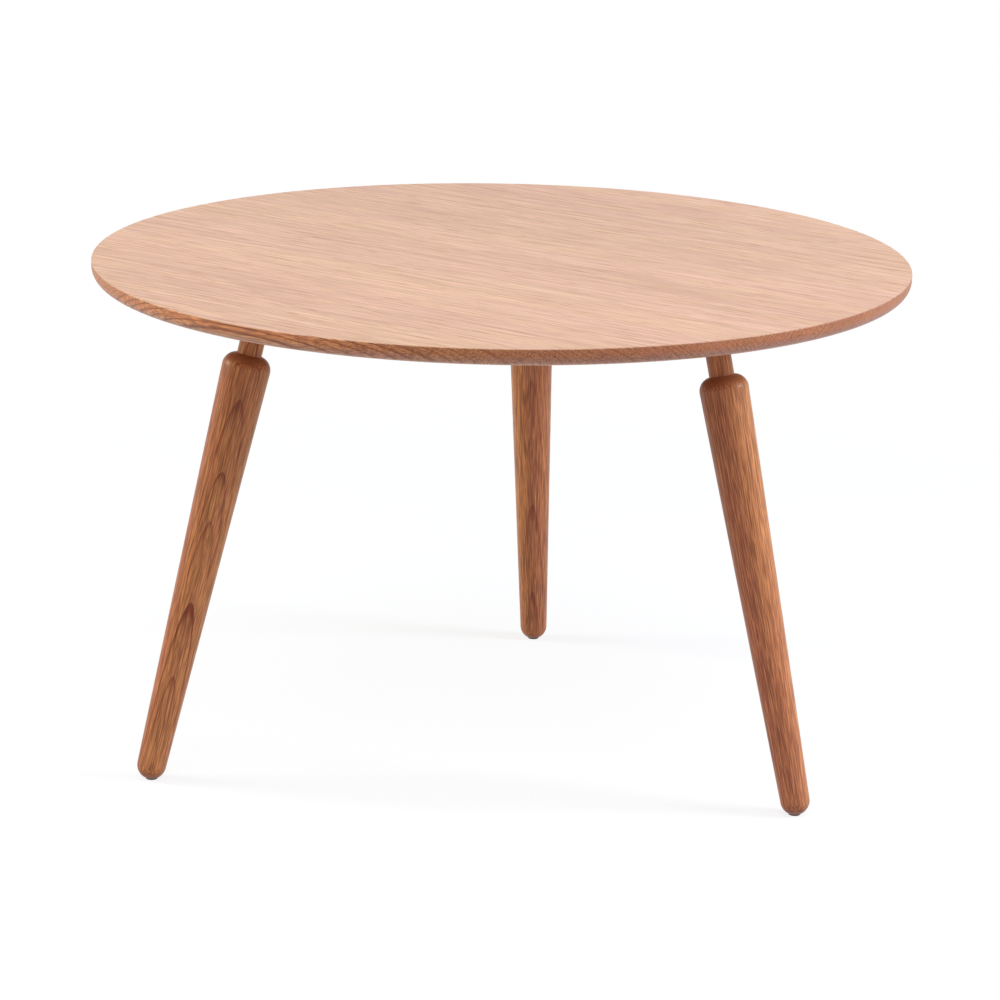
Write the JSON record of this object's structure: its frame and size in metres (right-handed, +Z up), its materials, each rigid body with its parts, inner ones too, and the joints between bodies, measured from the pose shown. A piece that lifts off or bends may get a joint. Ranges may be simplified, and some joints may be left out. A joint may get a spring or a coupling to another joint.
{
  "type": "cocktail table",
  "caption": "Round solid oak cocktail table: a thin edge-glued top with a rounded under-edge, on splayed turned legs with rounded shoulders and slim necks, held by a hidden underframe.",
  "frame": {"origin": "on the floor, under the centre of the round top", "axes": "+Z up; +Y towards one leg, which stands at the back as the picture shows the table"},
  "size_m": [0.762, 0.762, 0.47],
  "materials": {
    "oak_top": "matt clear lacquer over warm oak",
    "oak_leg": "satin clear lacquer over warm oak",
    "oak_rail": "planed oak, thin lacquer",
    "beech": "bare beech",
    "zinc_steel": "bright zinc plate",
    "glide": "dark brown moulded nylon"
  },
  "bodies": {
    "root": {"top_stave_1": "oak_top", "top_stave_2": "oak_top", "top_stave_3": "oak_top", "top_stave_4": "oak_top", "top_stave_5": "oak_top", "top_stave_6": "oak_top", "leg_1": "oak_leg", "leg_2": "oak_leg", "leg_3": "oak_leg", "tenon_wedge_1": "beech", "tenon_wedge_2": "beech", "tenon_wedge_3": "beech", "underframe_rail_1": "oak_rail", "underframe_rail_2": "oak_rail", "underframe_rail_3": "oak_rail", "foot_glide_1": "glide", "foot_glide_2": "glide", "foot_glide_3": "glide", "rail_screws": "zinc_steel", "rail_washers": "zinc_steel", "underframe_dowels": "beech", "glide_nails": "zinc_steel"}
  },
  "joints": []
}
